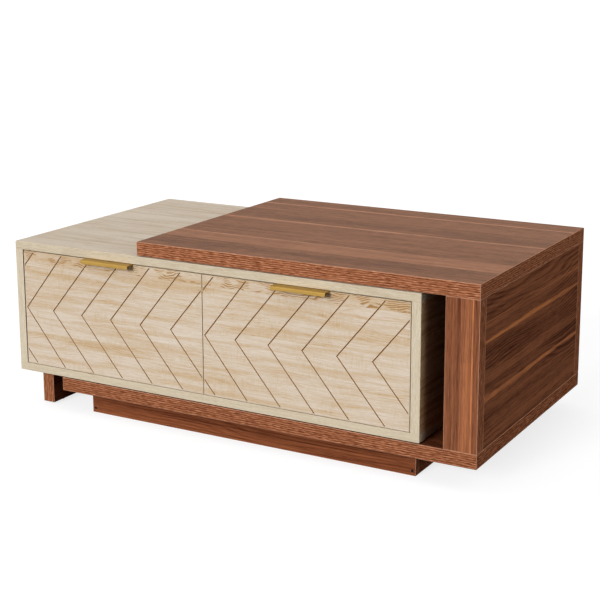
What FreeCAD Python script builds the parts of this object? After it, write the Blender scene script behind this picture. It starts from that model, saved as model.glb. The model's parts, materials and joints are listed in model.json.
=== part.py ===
import FreeCAD, Part
import os

Vector = FreeCAD.Vector

# Extendable coffee table, in millimetres.
# +X runs along the table towards the closed end of the walnut shell, the drawers face -Y and +Z is up.
# The origin is on the floor, under the middle of the table as it stands, the cabinet drawn a little way out.

# Sizes of the whole
table_depth = 600.0
cabinet_length = 1000.0
cabinet_height = 300.0
drawn_out_gap = 50.0
cabinet_travel = 400.0
edge_ease = 0.6
overrun = 1.0

# Walnut shell
shell_board = 30.0
shell_top_length = 784.0
shell_bottom_length = 1000.0
jamb_width = 70.0
jamb_thickness = 30.0
end_panel_thickness = 18.0

# Plinth under the shell
plinth_height = 50.0
plinth_length = 800.0
plinth_end_inset = 140.0
plinth_setback = 30.0
plinth_board = 15.0
corner_block = 28.0
corner_block_drop = 4.0

# Sliding between shell and cabinet
slide_pad_thickness = 2.0
slide_pad_radius = 15.0
slide_pad_inset = 30.0
slide_pad_spacing = 400.0
slide_pad_from_edge = 60.0
upper_gap = 2.0
upper_pad_clearance = 0.2
upper_pad_inset = 45.0
guide_pin_radius = 5.0
guide_pin_drop = 12.0
guide_pin_socket = 14.0
guide_pin_tip = 1.5
guide_pin_inset = 80.0
guide_pin_spacing = 300.0
guide_clearance = 0.3
guide_groove_depth = 14.0

# Light oak cabinet
cabinet_board = 18.0
cabinet_side_board = 20.0
cabinet_back_board = 15.0
leg_thickness = 30.0
leg_inset = 38.0
leg_glide_radius = 10.0
leg_glide_thickness = 3.0
leg_glide_inset = 40.0

# Drawers
front_thickness = 16.0
front_left_gap = 2.5
front_seam = 1.2
front_right_gap = 1.2
front_top_gap = 2.0
front_bottom_gap = 1.2
front_back_clearance = 2.0
drawer_board = 12.0
drawer_side_height = 200.0
drawer_back_room = 89.0
drawer_floor_clearance = 12.0
drawer_bottom_thickness = 4.0
drawer_bottom_lift = 10.0
drawer_bottom_groove = 5.0
panel_fit = 0.1

# Chevron grooves in the drawer fronts
chevron_pitch = 79.3
chevron_arm_run = 109.0
first_vertex_inset = 4.5
groove_width = 3.0
groove_depth = 2.0
groove_margin = 2.5

# Edge pulls on the drawer fronts
handle_length = 125.0
handle_reach = 20.0
handle_lip = 8.0
handle_flange = 20.0
handle_sheet = 1.2
handle_bend = 2.4
handle_corner = 3.5
handle_screw_spacing = 90.0
handle_screw_drop = 11.0

# Telescopic runners
runner_tail = 28.0
runner_height = 45.0
runner_width = 12.7
runner_steel = 1.2
runner_play = 0.3
runner_lip = 2.2
runner_screw_room = 1.8
cabinet_member_depth = 10.2
runner_screw_inset = 40.0

# Screws and cam fittings
screw_sides = 8
screw_head_radius = 3.5
screw_head_depth = 1.8
screw_shank_radius = 2.0
screw_fit = 0.15
plinth_screw_length = 40.0
plinth_screw_from_edge = 10.0
leg_screw_length = 50.0
leg_screw_inset = 120.0
runner_screw_head_radius = 3.2
runner_screw_shank_radius = 1.6
runner_screw_length = 9.0
cam_radius = 7.5
cam_depth = 12.5
cam_backset = 24.0
cam_slot_width = 1.6
cam_slot_length = 10.0
cam_slot_depth = 2.0
cam_fit = 0.1
cam_bolt_radius = 3.0
cam_bolt_bore_radius = 4.0
cam_bolt_grip = 11.0
cam_inset = 60.0

# Places worked out from the sizes
table_length = cabinet_length + drawn_out_gap + jamb_width
right_end = table_length / 2
left_end = -right_end
front_face = (handle_reach - table_depth) / 2
back_face = front_face + table_depth
middle_y = (front_face + back_face) / 2

shell_bottom_z = plinth_height
shell_bottom_top = shell_bottom_z + shell_board
cabinet_z = shell_bottom_top + slide_pad_thickness
cabinet_top_z = cabinet_z + cabinet_height
shell_top_z = cabinet_top_z + upper_gap

cabinet_left = left_end
cabinet_right = cabinet_left + cabinet_length
cabinet_middle = (cabinet_left + cabinet_right) / 2
opening_bottom = cabinet_z + cabinet_board
opening_top = cabinet_top_z - cabinet_board
opening_left = cabinet_left + cabinet_side_board
opening_right = cabinet_right - cabinet_side_board

jamb_left = right_end - jamb_width
plinth_right = right_end - plinth_end_inset
plinth_left = plinth_right - plinth_length
plinth_front = front_face + plinth_setback
plinth_back = back_face - plinth_setback

front_back = front_face + front_thickness
compartment_front = front_back + front_back_clearance
front_bottom = opening_bottom + front_bottom_gap
front_top = opening_top - front_top_gap
box_bottom = opening_bottom + drawer_floor_clearance
box_top = box_bottom + drawer_side_height
box_back = back_face - cabinet_back_board - drawer_back_room
runner_length = box_back - runner_tail - compartment_front
runner_middle_z = (box_bottom + box_top) / 2

along_x = Vector(1, 0, 0)
along_y = Vector(0, 1, 0)
along_z = Vector(0, 0, 1)


def save(name, shape):
    shape.exportStep("parts/" + name + ".step")


def block(x_range, y_range, z_range):
    corner = Vector(x_range[0], y_range[0], z_range[0])
    length = x_range[1] - x_range[0]
    depth = y_range[1] - y_range[0]
    height = z_range[1] - z_range[0]
    return Part.makeBox(length, depth, height, corner)


def board(x_range, y_range, z_range):
    # A board with every edge eased, as edge banding leaves it
    plain = block(x_range, y_range, z_range)
    return plain.makeChamfer(edge_ease, plain.Edges)


def around(centre, half):
    return (centre - half, centre + half)


def ring(point, direction, radius):
    # The round of a small fastener, drawn with a few flats
    sideways = direction.cross(along_x) if direction.dot(along_x) == 0 else direction.cross(along_y)
    corners = []
    for index in range(screw_sides):
        turn = FreeCAD.Rotation(direction, 360 * index / screw_sides)
        corners.append(point + turn.multVec(sideways) * radius)
    return Part.makePolygon(corners + corners[:1])


def rod(point, direction, radius, length):
    return Part.Face(ring(point, direction, radius)).extrude(direction * length)


def wood_screw(point, direction, head_radius, shank_radius, length, fit=0):
    # A countersunk screw from the face it lies flush in; with a fit it is the hole for it
    shank_start = point + direction * screw_head_depth
    head_rings = [ring(point, direction, head_radius + fit), ring(shank_start, direction, shank_radius + fit)]
    head = Part.makeLoft(head_rings, True, True)
    shank = rod(shank_start, direction, shank_radius + fit, length - screw_head_depth)
    return head.fuse(shank)


# Walnut shell
def cam_places():
    # Face centre of each cam, the way it goes in, and the way its bolt points
    jamb_middle = (jamb_left + right_end) / 2
    upper = shell_top_z - cam_backset
    lower = shell_bottom_top + cam_backset
    panel_front = front_face + jamb_thickness + cam_inset
    panel_back = back_face - jamb_thickness - cam_inset
    panel_inside = right_end - end_panel_thickness
    places = []
    for height, up in ((upper, along_z), (lower, -along_z)):
        front_jamb_face = Vector(jamb_middle, front_face + jamb_thickness, height)
        rear_jamb_face = Vector(jamb_middle, back_face - jamb_thickness, height)
        places.append(("front_jamb", front_jamb_face, -along_y, up))
        places.append(("rear_jamb", rear_jamb_face, along_y, up))
        places.append(("end_panel", Vector(panel_inside, panel_front, height), along_x, up))
        places.append(("end_panel", Vector(panel_inside, panel_back, height), along_x, up))
    return places


def cam_lock(face, inward):
    disc = Part.makeCylinder(cam_radius, cam_depth, face, inward)
    across = inward.cross(along_z)
    half_length = cam_slot_length / 2
    half_width = cam_slot_width / 2
    corners = [
        face + across * half_length + along_z * half_width,
        face - across * half_length + along_z * half_width,
        face - across * half_length - along_z * half_width,
        face + across * half_length - along_z * half_width,
    ]
    slot = Part.Face(Part.makePolygon(corners + corners[:1])).extrude(inward * cam_slot_depth)
    return disc.cut(slot)


def cam_seat(face, inward, up):
    # The disc's hole and the bolt's bore, cut together from the board that holds the cam
    seat = Part.makeCylinder(cam_radius + cam_fit, cam_depth + cam_fit, face, inward)
    middle = face + inward * (cam_depth / 2)
    bore = rod(middle, up, cam_bolt_bore_radius, cam_backset + overrun)
    return seat.fuse(bore)


def cam_bolt(face, inward, up):
    start = face + inward * (cam_depth / 2) + up * (cam_radius + cam_fit)
    length = cam_backset - cam_radius - cam_fit + cam_bolt_grip
    return rod(start, up, cam_bolt_radius, length)


def with_cam_seats(name, shape):
    for holder, face, inward, up in cam_places():
        if holder == name:
            shape = shape.cut(cam_seat(face, inward, up))
    return shape


def shell_top():
    x_range = (right_end - shell_top_length, right_end)
    return board(x_range, (front_face, back_face), (shell_top_z, shell_top_z + shell_board))


def shell_bottom():
    x_range = (right_end - shell_bottom_length, right_end)
    shape = board(x_range, (front_face, back_face), (shell_bottom_z, shell_bottom_top))
    return shape.cut(guide_groove())


def guide_groove():
    # One routed groove that both pins run in; its left end stops the cabinet when it is pulled out
    reach = guide_pin_radius + guide_clearance
    first = cabinet_right - guide_pin_inset - guide_pin_spacing - cabinet_travel
    last = cabinet_right - guide_pin_inset + drawn_out_gap
    floor = shell_bottom_top - guide_groove_depth
    z_range = (floor, shell_bottom_top + overrun)
    height = z_range[1] - z_range[0]
    groove = block((first, last), around(middle_y, reach), z_range)
    for x in (first, last):
        groove = groove.fuse(Part.makeCylinder(reach, height, Vector(x, middle_y, floor)))
    return groove.removeSplitter()


def jamb(y_range):
    return board((jamb_left, right_end), y_range, (shell_bottom_top, shell_top_z))


def end_panel():
    x_range = (right_end - end_panel_thickness, right_end)
    y_range = (front_face + jamb_thickness, back_face - jamb_thickness)
    return board(x_range, y_range, (shell_bottom_top, shell_top_z))


def upper_slide_pads():
    x = right_end - shell_top_length + upper_pad_inset
    thickness = upper_gap - upper_pad_clearance
    pads = []
    for y in (front_face + slide_pad_from_edge, middle_y, back_face - slide_pad_from_edge):
        pads.append(Part.makeCylinder(slide_pad_radius, thickness, Vector(x, y, shell_top_z), -along_z))
    return Part.makeCompound(pads)


def plinth_rail(x_range, y_range):
    return board(x_range, y_range, (0, plinth_height))


def plinth_screw_places():
    places = []
    half_board = plinth_board / 2
    for x in (plinth_left + half_board, plinth_right - half_board):
        for z in (plinth_screw_from_edge, plinth_height - plinth_screw_from_edge):
            places.append((Vector(x, plinth_front, z), along_y))
            places.append((Vector(x, plinth_back, z), -along_y))
    return places


def plinth_screw(point, direction, fit=0):
    return wood_screw(point, direction, screw_head_radius, screw_shank_radius, plinth_screw_length, fit)


def plinth_long_rail(y_range):
    rail = plinth_rail((plinth_left, plinth_right), y_range)
    for point, direction in plinth_screw_places():
        rail = rail.cut(plinth_screw(point, direction, screw_fit))
    return rail


def plinth_cross_rail(x_range):
    return plinth_rail(x_range, (plinth_front + plinth_board, plinth_back - plinth_board))


def plinth_corner_blocks():
    blocks = []
    z_range = (corner_block_drop, plinth_height)
    inner_left = plinth_left + plinth_board
    inner_right = plinth_right - plinth_board
    inner_front = plinth_front + plinth_board
    inner_back = plinth_back - plinth_board
    for x_range in ((inner_left, inner_left + corner_block), (inner_right - corner_block, inner_right)):
        for y_range in ((inner_front, inner_front + corner_block), (inner_back - corner_block, inner_back)):
            blocks.append(block(x_range, y_range, z_range))
    return Part.makeCompound(blocks)


def build_shell():
    save("shell_top", shell_top())
    save("shell_bottom", shell_bottom())
    save("end_panel", with_cam_seats("end_panel", end_panel()))
    front_range = (front_face, front_face + jamb_thickness)
    back_range = (back_face - jamb_thickness, back_face)
    save("front_jamb", with_cam_seats("front_jamb", jamb(front_range)))
    save("rear_jamb", with_cam_seats("rear_jamb", jamb(back_range)))
    save("shell_cam_locks", Part.makeCompound([cam_lock(face, inward) for _, face, inward, _ in cam_places()]))
    bolts = [cam_bolt(face, inward, up) for _, face, inward, up in cam_places()]
    save("shell_cam_bolts", Part.makeCompound(bolts))
    save("upper_slide_pads", upper_slide_pads())


def build_plinth():
    plinth_middle = (plinth_left + plinth_right) / 2
    save("plinth_front_rail", plinth_long_rail((plinth_front, plinth_front + plinth_board)))
    save("plinth_rear_rail", plinth_long_rail((plinth_back - plinth_board, plinth_back)))
    save("plinth_left_rail", plinth_cross_rail((plinth_left, plinth_left + plinth_board)))
    save("plinth_middle_rail", plinth_cross_rail(around(plinth_middle, plinth_board / 2)))
    save("plinth_right_rail", plinth_cross_rail((plinth_right - plinth_board, plinth_right)))
    save("plinth_corner_blocks", plinth_corner_blocks())
    save("plinth_screws", Part.makeCompound([plinth_screw(*place) for place in plinth_screw_places()]))


# Light oak cabinet
def leg_middle_x():
    return cabinet_left + leg_inset + leg_thickness / 2


def leg_screw_places():
    places = []
    for y in (front_face + leg_screw_inset, middle_y, back_face - leg_screw_inset):
        places.append(Vector(leg_middle_x(), y, opening_bottom))
    return places


def leg_screw(point, fit=0):
    return wood_screw(point, -along_z, screw_head_radius, screw_shank_radius, leg_screw_length, fit)


def guide_pin_places():
    last = cabinet_right - guide_pin_inset
    return [Vector(x, middle_y, cabinet_z + guide_pin_socket) for x in (last - guide_pin_spacing, last)]


def guide_pin(top):
    length = guide_pin_socket + guide_pin_drop + slide_pad_thickness
    pin = Part.makeCylinder(guide_pin_radius, length, top, -along_z)
    tip_edges = [edge for edge in pin.Edges if edge.BoundBox.ZMax < cabinet_z]
    return pin.makeChamfer(guide_pin_tip, tip_edges)


def cabinet_bottom():
    shape = board((cabinet_left, cabinet_right), (front_face, back_face), (cabinet_z, opening_bottom))
    for point in leg_screw_places():
        shape = shape.cut(leg_screw(point, screw_fit))
    for top in guide_pin_places():
        socket = Part.makeCylinder(guide_pin_radius, guide_pin_socket + overrun, top, -along_z)
        shape = shape.cut(socket)
    return shape


def cabinet_side(x_range):
    return board(x_range, (front_face, back_face), (opening_bottom, opening_top))


def cabinet_divider():
    x_range = around(cabinet_middle, cabinet_board / 2)
    y_range = (compartment_front, back_face - cabinet_back_board)
    return board(x_range, y_range, (opening_bottom, opening_top))


def support_leg():
    x_range = around(leg_middle_x(), leg_thickness / 2)
    y_range = (front_face + plinth_setback, back_face - plinth_setback)
    return board(x_range, y_range, (leg_glide_thickness, cabinet_z))


def leg_glides():
    glides = []
    for y in (front_face + plinth_setback + leg_glide_inset, back_face - plinth_setback - leg_glide_inset):
        glides.append(Part.makeCylinder(leg_glide_radius, leg_glide_thickness, Vector(leg_middle_x(), y, 0)))
    return Part.makeCompound(glides)


def lower_slide_pads():
    # All under the cabinet's right half, so that they stay on the shell when it is pulled out
    last = cabinet_right - slide_pad_inset
    pads = []
    for x in (last - slide_pad_spacing, last):
        for y in (front_face + slide_pad_from_edge, back_face - slide_pad_from_edge):
            pads.append(Part.makeCylinder(slide_pad_radius, slide_pad_thickness, Vector(x, y, shell_bottom_top)))
    return Part.makeCompound(pads)


def build_cabinet():
    whole_length = (cabinet_left, cabinet_right)
    whole_depth = (front_face, back_face)
    save("cabinet_top", board(whole_length, whole_depth, (opening_top, cabinet_top_z)))
    save("cabinet_bottom", cabinet_bottom())
    save("cabinet_left_side", cabinet_side((cabinet_left, opening_left)))
    save("cabinet_right_side", cabinet_side((opening_right, cabinet_right)))
    save("cabinet_divider", cabinet_divider())
    back_range = (back_face - cabinet_back_board, back_face)
    save("cabinet_back", board((opening_left, opening_right), back_range, (opening_bottom, opening_top)))
    save("support_leg", support_leg())
    save("leg_screws", Part.makeCompound([leg_screw(point) for point in leg_screw_places()]))
    save("leg_glides", leg_glides())
    save("lower_slide_pads", lower_slide_pads())
    save("guide_pins", Part.makeCompound([guide_pin(top) for top in guide_pin_places()]))


# Telescopic runners
# A section is drawn from the wall it is screwed to, out towards the drawer, and is the same above and below
def channel_section(web, edge, half_height):
    # A channel with its rims turned in; web is its back's distance from the wall, edge its rims'
    inside = half_height - runner_steel
    rim = inside - runner_lip
    upper = [
        (web + runner_steel, inside),
        (edge - runner_steel, inside),
        (edge - runner_steel, rim),
        (edge, rim),
        (edge, half_height),
        (web, half_height),
    ]
    lower = [(reach, -height) for reach, height in reversed(upper)]
    return upper + lower


def top_hat_section(brim, half_height, neck):
    # Its crown is screwed to the drawer and its brim is held behind the middle member's rims
    inside = neck - runner_steel
    upper = [
        (runner_width - runner_steel, inside),
        (brim - runner_steel, inside),
        (brim - runner_steel, half_height),
        (brim, half_height),
        (brim, neck),
        (runner_width, neck),
    ]
    lower = [(reach, -height) for reach, height in reversed(upper)]
    return upper + lower


def runner_sections():
    outer_half = runner_height / 2
    middle_half = outer_half - runner_steel - runner_play
    middle_web = runner_steel + runner_screw_room
    middle_edge = cabinet_member_depth - runner_steel - runner_play
    middle_rim = middle_half - runner_steel - runner_lip
    drawer_half = middle_half - runner_steel - runner_play
    brim = middle_edge - runner_steel - runner_play
    return {
        "cabinet": channel_section(0, cabinet_member_depth, outer_half),
        "middle": channel_section(middle_web, middle_edge, middle_half),
        "drawer": top_hat_section(brim, drawer_half, middle_rim - runner_play),
    }


def runner_member(section, wall, side):
    points = []
    for reach, height in section:
        points.append(Vector(wall + side * reach, compartment_front, runner_middle_z + height))
    face = Part.Face(Part.makePolygon(points + points[:1]))
    return face.extrude(along_y * runner_length)


def runner_screw_places(x, direction):
    first = compartment_front + runner_screw_inset
    last = compartment_front + runner_length - runner_screw_inset
    return [(Vector(x, y, runner_middle_z), direction) for y in (first, last)]


def runner_screw(point, direction, fit=0):
    head = runner_screw_head_radius
    return wood_screw(point, direction, head, runner_screw_shank_radius, runner_screw_length, fit)


def drill(shape, places):
    for point, direction in places:
        shape = shape.cut(runner_screw(point, direction, screw_fit))
    return shape


def build_runner(name, wall, side):
    # side is 1 where the runner's wall is on the drawer's left, -1 where it is on its right
    sections = runner_sections()
    to_wall = runner_screw_places(wall + side * runner_steel, along_x * -side)
    crown = wall + side * (runner_width - runner_steel)
    to_drawer = runner_screw_places(crown, along_x * side)
    save(name + "_cabinet_member", drill(runner_member(sections["cabinet"], wall, side), to_wall))
    save(name + "_middle_member", runner_member(sections["middle"], wall, side))
    save(name + "_drawer_member", drill(runner_member(sections["drawer"], wall, side), to_drawer))
    return [runner_screw(*place) for place in to_wall], [runner_screw(*place) for place in to_drawer]


# Drawers
def chevron_arm(vertex_x, middle_z, way, run):
    # A V-shaped cutter along one arm, from the vertex to past the front's top or bottom edge
    rise = (front_top - front_bottom) / 2
    along = Vector(run, 0, way * rise)
    across = Vector(-along.z, 0, along.x).normalize()
    step = Vector(along).normalize() * groove_width
    half_width = groove_width / 2 * (groove_depth + overrun) / groove_depth
    start = Vector(vertex_x, front_face - overrun, middle_z) - step
    tip = start + along_y * (groove_depth + overrun)
    corners = [start - across * half_width, start + across * half_width, tip]
    cutter = Part.Face(Part.makePolygon(corners + corners[:1])).extrude(along + step + step)
    reach = run + groove_width + groove_width
    z_range = sorted((middle_z, middle_z + way * (rise + groove_width)))
    half = block((vertex_x - reach, vertex_x + reach), (front_face - overrun, front_back), z_range)
    return cutter.common(half)


def drawer_front(x_range):
    # The first vertex stands a little way in from the left edge, so that its point is whole
    shape = board(x_range, (front_face, front_back), (front_bottom, front_top))
    chevrons = round((x_range[1] - x_range[0]) / chevron_pitch)
    middle_z = (front_bottom + front_top) / 2
    cutters = []
    for index in range(-1, chevrons):
        inset = first_vertex_inset if index == 0 else 0
        vertex_x = x_range[0] + index * chevron_pitch + inset
        for way in (1, -1):
            cutters.append(chevron_arm(vertex_x, middle_z, way, chevron_arm_run - inset))
    inner_x = (x_range[0] + groove_margin, x_range[1] - groove_margin)
    inner_z = (front_bottom + groove_margin, front_top - groove_margin)
    grooved_area = block(inner_x, (front_face - overrun, front_back), inner_z)
    for cutter in cutters:
        shape = shape.cut(cutter.common(grooved_area))
    return shape


def drawer_side(x_range, inward):
    # The bottom panel's groove runs the whole length of the inner face
    shape = board(x_range, (front_back, box_back), (box_bottom, box_top))
    inner = x_range[1] if inward > 0 else x_range[0]
    groove_x = sorted((inner - inward * drawer_bottom_groove, inner + inward * overrun))
    groove_z = (box_bottom + drawer_bottom_lift - panel_fit, bottom_panel_top() + panel_fit)
    return shape.cut(block(groove_x, (front_back - overrun, box_back + overrun), groove_z))


def bottom_panel_top():
    return box_bottom + drawer_bottom_lift + drawer_bottom_thickness


def drawer_bottom(inner_range):
    reach = drawer_bottom_groove - panel_fit
    x_range = (inner_range[0] - reach, inner_range[1] + reach)
    z_range = (box_bottom + drawer_bottom_lift, bottom_panel_top())
    return block(x_range, (front_back, box_back), z_range)


def drawer_handle(middle_x):
    # One bent strip: a flange behind the front, a plate over its top edge and a short lip in front
    x_range = around(middle_x, handle_length / 2)
    lip_face = front_face - handle_reach
    flange_face = front_back + handle_sheet
    plate_top = front_top + handle_sheet
    outer = block(x_range, (lip_face, flange_face), (front_top - handle_flange, plate_top))
    core_z = (front_top - handle_flange - overrun, front_top)
    core = block(x_range, (lip_face + handle_sheet, front_back), core_z)
    below_lip = plate_top - handle_lip
    lip_space = block(x_range, (lip_face - overrun, front_face), (core_z[0], below_lip))
    strip = outer.cut(core).cut(lip_space)
    strip = rounded_bend(strip, lip_face, plate_top, handle_bend)
    strip = rounded_bend(strip, lip_face + handle_sheet, front_top, handle_bend - handle_sheet)
    strip = rounded_lip(strip, x_range, below_lip)
    for point in handle_screw_places(middle_x):
        strip = strip.cut(handle_screw(point, screw_fit))
    return strip


def rounded_bend(shape, y, z, radius):
    edges = []
    for edge in shape.Edges:
        box = edge.BoundBox
        lengthwise = box.XLength > handle_length / 2
        here = abs(box.Center.y - y) < panel_fit and abs(box.Center.z - z) < panel_fit
        if lengthwise and here:
            edges.append(edge)
    return shape.makeFillet(radius, edges)


def rounded_lip(shape, x_range, below_lip):
    edges = []
    for edge in shape.Edges:
        box = edge.BoundBox
        at_end = min(abs(box.Center.x - x) for x in x_range) < panel_fit
        at_lip = abs(box.Center.z - below_lip) < panel_fit and box.YMax < front_face
        if at_end and at_lip and box.YLength > handle_sheet / 2:
            edges.append(edge)
    return shape.makeFillet(handle_corner, edges)


def handle_screw_places(middle_x):
    y = front_back + handle_sheet
    z = front_top - handle_screw_drop
    return [Vector(x, y, z) for x in around(middle_x, handle_screw_spacing / 2)]


def handle_screw(point, fit=0):
    head = runner_screw_head_radius
    return wood_screw(point, -along_y, head, runner_screw_shank_radius, runner_screw_length, fit)


def build_drawer(name, front_range, compartment):
    middle_x = (front_range[0] + front_range[1]) / 2
    outer_range = (compartment[0] + runner_width, compartment[1] - runner_width)
    inner_range = (outer_range[0] + drawer_board, outer_range[1] - drawer_board)
    save(name + "_front", drawer_front(front_range))
    save(name + "_left_side", drawer_side((outer_range[0], inner_range[0]), 1))
    save(name + "_right_side", drawer_side((inner_range[1], outer_range[1]), -1))
    back_range = (box_back - drawer_board, box_back)
    save(name + "_back", board(inner_range, back_range, (bottom_panel_top(), box_top)))
    save(name + "_bottom", drawer_bottom(inner_range))
    save(name + "_handle", drawer_handle(middle_x))
    handle_screws = [handle_screw(point) for point in handle_screw_places(middle_x)]
    save(name + "_handle_screws", Part.makeCompound(handle_screws))
    left_to_wall, left_to_drawer = build_runner(name + "_left_runner", compartment[0], 1)
    right_to_wall, right_to_drawer = build_runner(name + "_right_runner", compartment[1], -1)
    save(name + "_runner_screws", Part.makeCompound(left_to_drawer + right_to_drawer))
    return left_to_wall + right_to_wall


def build_drawers():
    fronts_left = opening_left + front_left_gap
    fronts_right = opening_right - front_right_gap
    front_width = (fronts_right - fronts_left - front_seam) / 2
    half_divider = cabinet_board / 2
    left_front = (fronts_left, fronts_left + front_width)
    right_front = (fronts_right - front_width, fronts_right)
    left_compartment = (opening_left, cabinet_middle - half_divider)
    right_compartment = (cabinet_middle + half_divider, opening_right)
    screws = build_drawer("left_drawer", left_front, left_compartment)
    screws += build_drawer("right_drawer", right_front, right_compartment)
    save("cabinet_runner_screws", Part.makeCompound(screws))


os.makedirs("parts", exist_ok=True)
build_shell()
build_plinth()
build_cabinet()
build_drawers()
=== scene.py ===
import json
import math

import bmesh
import bpy
from mathutils import Matrix, Vector


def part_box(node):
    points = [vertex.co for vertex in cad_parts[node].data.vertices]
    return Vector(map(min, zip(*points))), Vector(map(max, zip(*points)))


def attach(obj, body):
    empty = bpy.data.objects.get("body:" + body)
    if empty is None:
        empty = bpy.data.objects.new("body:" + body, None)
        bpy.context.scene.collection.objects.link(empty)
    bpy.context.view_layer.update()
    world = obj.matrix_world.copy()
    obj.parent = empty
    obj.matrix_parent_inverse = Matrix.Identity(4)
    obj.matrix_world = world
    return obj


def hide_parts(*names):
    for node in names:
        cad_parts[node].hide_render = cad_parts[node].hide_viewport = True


# Extendable coffee table: a walnut shell, an oak cabinet that slides out of it and two drawers.
# Sizes are in metres, in the table's own frame: +X towards the shell's closed end, the drawers face -Y.

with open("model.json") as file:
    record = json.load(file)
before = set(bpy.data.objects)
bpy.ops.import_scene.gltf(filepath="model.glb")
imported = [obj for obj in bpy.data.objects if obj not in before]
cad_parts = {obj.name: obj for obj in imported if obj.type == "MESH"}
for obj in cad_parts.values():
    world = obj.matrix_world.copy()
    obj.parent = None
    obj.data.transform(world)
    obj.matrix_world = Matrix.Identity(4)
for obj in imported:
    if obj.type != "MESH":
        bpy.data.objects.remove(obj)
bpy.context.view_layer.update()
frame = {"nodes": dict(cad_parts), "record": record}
mm = 0.001

along_x = (1.0, 0.0, 0.0)
along_y = (0.0, 1.0, 0.0)
along_z = (0.0, 0.0, 1.0)

# How a board lies: its grain's way, its width's way and its thickness's way
lying = (along_x, along_y, along_z)
facing_front = (along_x, along_z, along_y)
facing_side = (along_y, along_z, along_x)
upright = (along_z, along_x, along_y)


def screen(red, green, blue):
    """A colour read off a screen, 0 to 255, as light, by the standard screen curve."""
    light = []
    for level in (red, green, blue):
        share = level / 255
        light.append(share / 12.92 if share <= 0.04045 else ((share + 0.055) / 1.055) ** 2.4)
    return (*light, 1.0)


def grey(level):
    return (level, level, level, 1.0)


# Tones run from the darkest grain line to the lightest streak
walnut_tones = (
    (0.0, screen(40, 21, 14)),
    (0.3, screen(92, 52, 34)),
    (0.55, screen(130, 80, 55)),
    (0.8, screen(158, 99, 66)),
    (1.0, screen(192, 120, 72)),
)
walnut_low_tones = (
    (0.0, screen(38, 18, 11)),
    (0.3, screen(90, 47, 28)),
    (0.55, screen(128, 73, 46)),
    (0.8, screen(156, 94, 60)),
    (1.0, screen(190, 118, 68)),
)
walnut_top_tones = (
    (0.0, screen(46, 28, 18)),
    (0.3, screen(102, 64, 41)),
    (0.55, screen(135, 90, 62)),
    (0.8, screen(160, 109, 79)),
    (1.0, screen(186, 134, 100)),
)
walnut_edge_tones = (
    (0.0, screen(78, 38, 24)),
    (0.4, screen(130, 77, 51)),
    (0.7, screen(166, 107, 75)),
    (1.0, screen(202, 143, 108)),
)
oak_tones = (
    (0.0, screen(158, 120, 76)),
    (0.3, screen(188, 160, 124)),
    (0.6, screen(200, 183, 163)),
    (1.0, screen(217, 208, 197)),
)
# A darker, warmer copy of the oak tones for the cabinet's right side, which stands in the shaded gap: painted
# shade
oak_shaded_side_tones = (
    (0.0, screen(120, 84, 50)),
    (0.5, screen(178, 140, 100)),
    (1.0, screen(212, 182, 146)),
)
oak_top_tones = (
    (0.0, screen(152, 129, 105)),
    (0.3, screen(179, 160, 137)),
    (0.6, screen(197, 182, 163)),
    (1.0, screen(214, 204, 190)),
)
oak_edge_tones = (
    (0.0, screen(172, 154, 127)),
    (0.5, screen(201, 188, 165)),
    (1.0, screen(219, 210, 191)),
)
# The walnut's arris colour is a painted highlight: a light line where light would catch the sharp edges
walnut_arris_highlight = screen(205, 158, 130)
oak_worn = screen(196, 178, 150)
groove_tones = ((0.0, screen(116, 80, 42)), (1.0, screen(174, 130, 78)))
drawer_tones = ((0.0, screen(196, 184, 164)), (1.0, screen(226, 218, 204)))
pine_tones = ((0.0, screen(176, 134, 86)), (1.0, screen(222, 188, 140)))
chipboard_tones = ((0.0, screen(128, 96, 62)), (1.0, screen(196, 164, 120)))


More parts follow.
